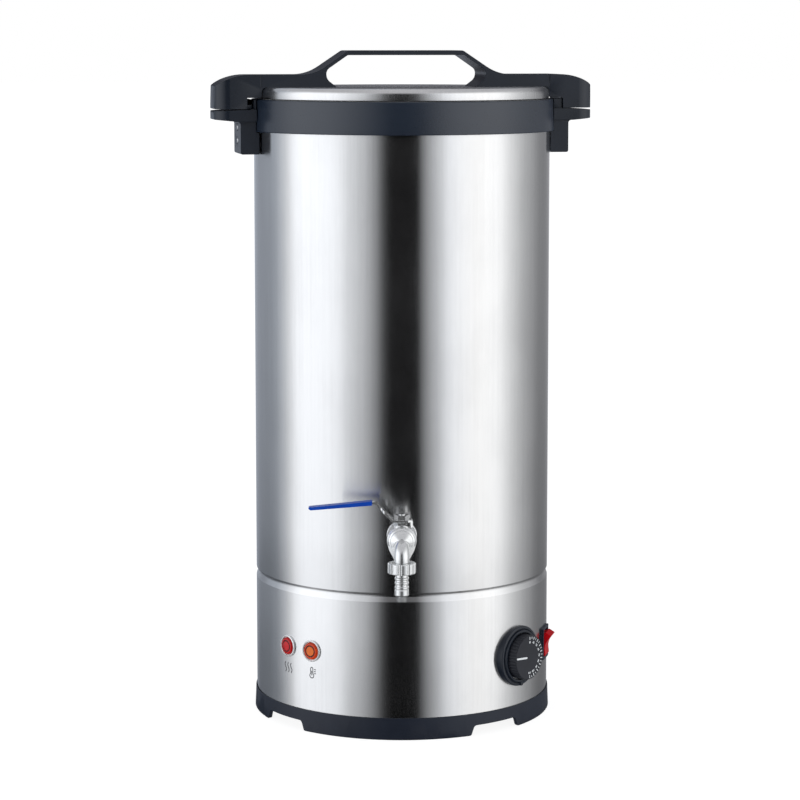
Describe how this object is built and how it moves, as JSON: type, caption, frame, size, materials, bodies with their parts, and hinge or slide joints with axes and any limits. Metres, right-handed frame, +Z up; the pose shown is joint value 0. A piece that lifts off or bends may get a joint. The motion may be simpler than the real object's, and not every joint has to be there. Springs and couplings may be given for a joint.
{
  "type": "brew kettle",
  "caption": "Tall steel electric brew kettle with a ball-valve tap, thermostat dial, rocker switch, lamps and a twist-lock lid",
  "frame": {"origin": "on the floor under the feet, on the vessel's own vertical axis", "axes": "+Z up along the vessel's axis, -Y out through the tap at the front, +X to the right seen from the front"},
  "size_m": [0.3854, 0.3815, 0.674],
  "materials": {
    "brushed_steel": "vertical-grain satin stainless steel",
    "black_plastic": "satin blue-black moulded plastic",
    "knob_black": "satin black moulded plastic with white marks",
    "zinc_plated": "dull zinc plate",
    "galvanised_sheet": "dull galvanised sheet",
    "cast_aluminium": "as-cast",
    "heater_sheath": "drawn stainless tube",
    "copper": "bare copper capillary",
    "ceramic": "white ceramic",
    "white_plastic": "white moulded plastic",
    "wire_insulation": "heat-resistant sleeving",
    "red_switch": "gloss red moulded plastic",
    "red_lens": "translucent red lens",
    "amber_lens": "translucent amber lens",
    "bright_chrome": "polished plate",
    "tap_metal": "bright machined stainless steel",
    "seal_rubber": "black washer rubber",
    "silicone": "translucent white silicone",
    "blue_grip": "dipped blue vinyl"
  },
  "bodies": {
    "kettle": {"vessel_wall": "brushed_steel", "base_skirt": "brushed_steel", "vessel_floor": "brushed_steel", "rim_band": "black_plastic", "left_bracket": "black_plastic", "right_bracket": "black_plastic", "bracket_screws": "zinc_plated", "bracket_nuts": "zinc_plated", "base_ring": "black_plastic", "base_plate": "galvanised_sheet", "base_screws": "zinc_plated", "heater_plate": "cast_aluminium", "heater_coil": "heater_sheath", "heater_terminals": "ceramic", "boil_dry_cutout": "zinc_plated", "thermostat": "zinc_plated", "thermostat_screws": "zinc_plated", "probe_bulb": "heater_sheath", "probe_capillary": "copper", "knob_bezel": "black_plastic", "switch_housing": "black_plastic", "boiling_lamp": "red_lens", "warm_lamp": "amber_lens", "lamp_rings": "bright_chrome", "lamp_clips": "white_plastic", "lamp_blades": "zinc_plated", "cable_gland": "black_plastic", "gland_nut": "black_plastic", "terminal_block": "white_plastic", "internal_wiring": "wire_insulation", "tap_body": "tap_metal", "tap_outer_washer": "seal_rubber", "tap_inner_washer": "seal_rubber", "tap_backnut": "zinc_plated", "ball_seats": "white_plastic", "union_nut": "tap_metal", "hose_barb": "tap_metal"},
    "seal": {"lid_seal": "silicone"},
    "lid": {"lid_pan": "brushed_steel", "lid_plug": "brushed_steel", "lid_handle": "black_plastic", "lid_screws": "zinc_plated"},
    "valve": {"valve_ball": "bright_chrome", "valve_stem": "tap_metal", "tap_lever": "tap_metal", "lever_grip": "blue_grip", "lever_nut": "tap_metal"},
    "knob": {"control_knob": "knob_black", "thermostat_spindle": "zinc_plated"},
    "rocker": {"switch_rocker": "red_switch"}
  },
  "joints": [
    {"name": "lid_turn", "type": "hinge", "parent": "kettle", "child": "seal", "pos_m": [0, 0, 0.626], "axis": [0, 0, 1], "range_deg": [-8.1, 0]},
    {"name": "lid_lift", "type": "slide", "parent": "seal", "child": "lid", "axis": [0, 0, 1], "range_m": [0, 0.25]},
    {"name": "tap_turn", "type": "hinge", "parent": "kettle", "child": "valve", "pos_m": [0, -0.173, 0.2238], "axis": [0, 0, 1], "range_deg": [0, 90]},
    {"name": "knob_turn", "type": "hinge", "parent": "kettle", "child": "knob", "pos_m": [0.12346, -0.10177, 0.072], "axis": [-0.7716, 0.6361, 0], "range_deg": [0, 270]},
    {"name": "rocker_tip", "type": "hinge", "parent": "kettle", "child": "rocker", "pos_m": [0.14457, -0.03605, 0.072], "axis": [-0.2419, -0.9703, 0], "range_deg": [0, 32]}
  ]
}
